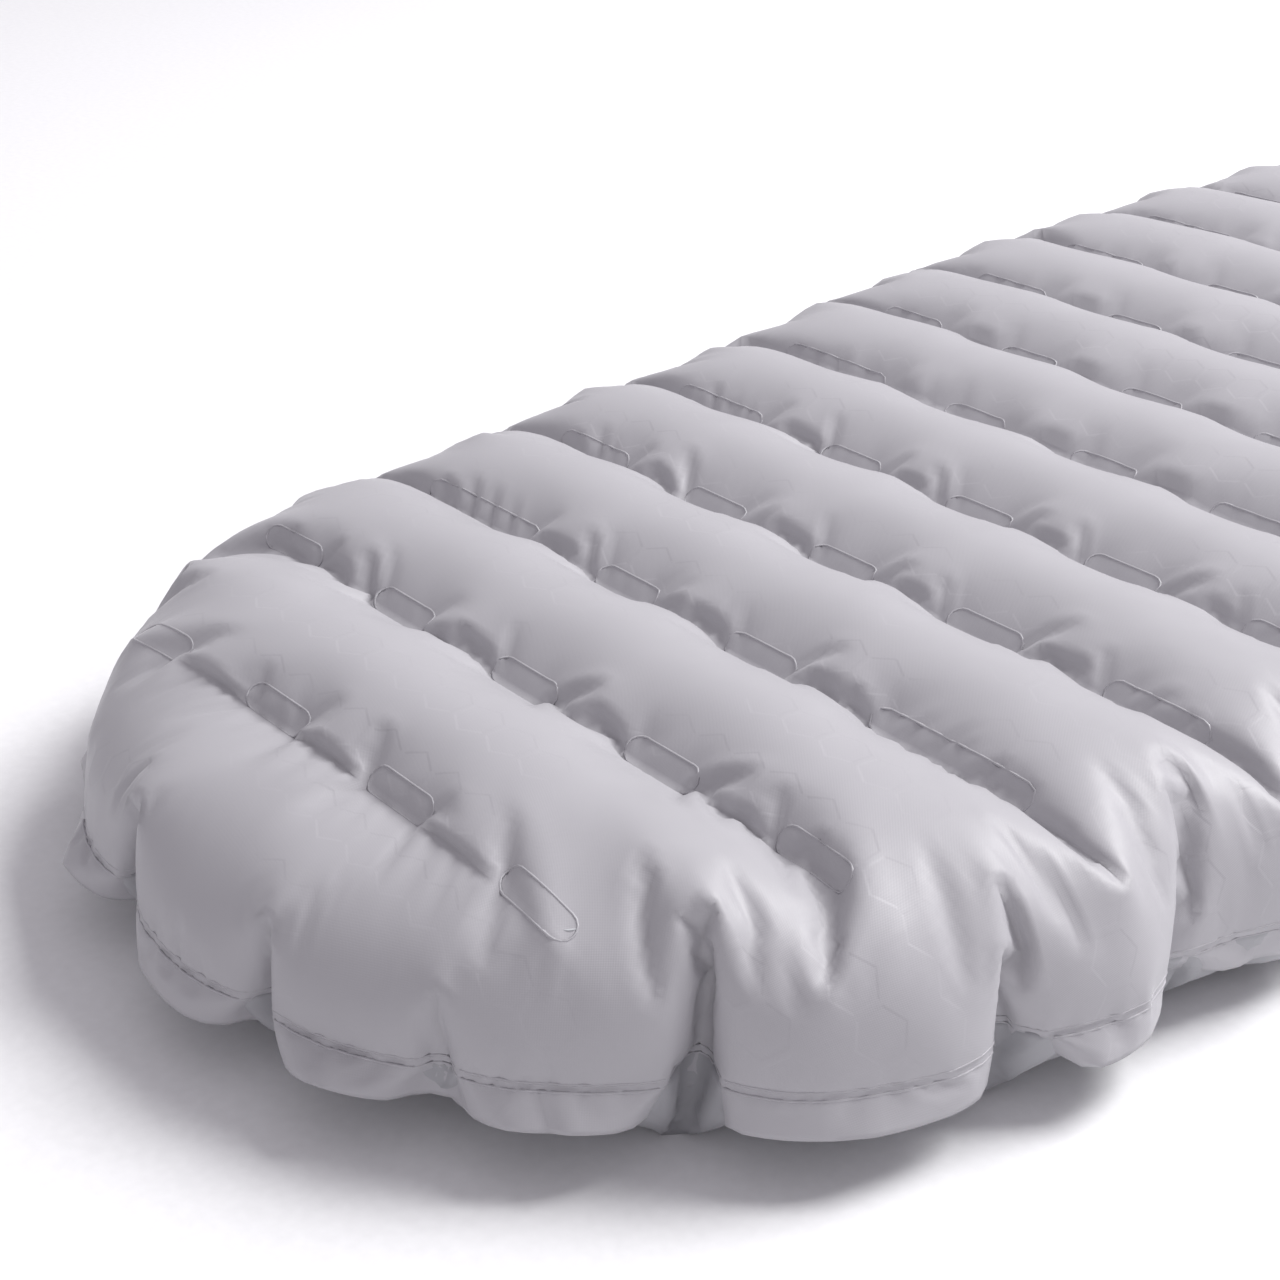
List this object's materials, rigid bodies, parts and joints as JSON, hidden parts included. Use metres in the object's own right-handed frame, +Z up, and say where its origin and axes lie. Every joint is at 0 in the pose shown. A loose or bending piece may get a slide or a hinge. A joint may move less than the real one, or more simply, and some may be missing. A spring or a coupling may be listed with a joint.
{
  "type": "inflatable sleeping pad",
  "caption": "Long air-filled camping mattress with soft cross tubes, a rounded tapered foot end, a welded rim and a hinged two-stage air valve.",
  "frame": {"origin": "on the ground under the middle of the pad", "axes": "+Y from the foot end to the head end, +X across the pad, +Z up"},
  "size_m": [0.51, 1.828, 0.0906],
  "materials": {
    "fabric_top": "satin laminated polyester, pale cool grey",
    "fabric_bottom": "satin laminated polyester, slightly darker grey",
    "baffle_film": "smooth coated film",
    "valve_plastic": "fine moulded TPU",
    "seal_rubber": "translucent silicone",
    "pin_steel": "plain drawn wire"
  },
  "bodies": {
    "pad": {"top_shell": "fabric_top", "bottom_shell": "fabric_bottom", "valve_base": "valve_plastic", "plug_hinge_pin": "pin_steel", "baffle_01": "baffle_film", "baffle_02": "baffle_film", "baffle_03": "baffle_film", "baffle_04": "baffle_film", "baffle_05": "baffle_film", "baffle_06": "baffle_film", "baffle_07": "baffle_film", "baffle_08": "baffle_film", "baffle_09": "baffle_film", "baffle_10": "baffle_film", "baffle_11": "baffle_film", "baffle_12": "baffle_film", "baffle_13": "baffle_film", "baffle_14": "baffle_film", "baffle_15": "baffle_film", "baffle_16": "baffle_film", "baffle_17": "baffle_film", "baffle_18": "baffle_film", "baffle_19": "baffle_film", "baffle_20": "baffle_film", "baffle_21": "baffle_film", "baffle_22": "baffle_film", "baffle_23": "baffle_film", "baffle_24": "baffle_film", "baffle_25": "baffle_film", "baffle_26": "baffle_film"},
    "plug": {"dump_plug": "valve_plastic", "plug_grille": "valve_plastic", "dump_seal": "seal_rubber", "cap_hinge_pin": "pin_steel"},
    "cap": {"inflate_cap": "valve_plastic", "cap_seal": "seal_rubber"},
    "flap": {"check_valve": "seal_rubber"}
  },
  "joints": [
    {"name": "plug_hinge", "type": "hinge", "parent": "pad", "child": "plug", "pos_m": [0.12, 0.835, 0.085], "axis": [-1, 0, 0], "range_deg": [0, 140]},
    {"name": "cap_hinge", "type": "hinge", "parent": "plug", "child": "cap", "pos_m": [0.12, 0.7995, 0.0886], "axis": [1, 0, 0], "range_deg": [0, 160]},
    {"name": "release_button", "type": "slide", "parent": "plug", "child": "flap", "axis": [0, 0, -1], "range_m": [0, 0.0022], "stiffness_N_per_m": 300}
  ]
}
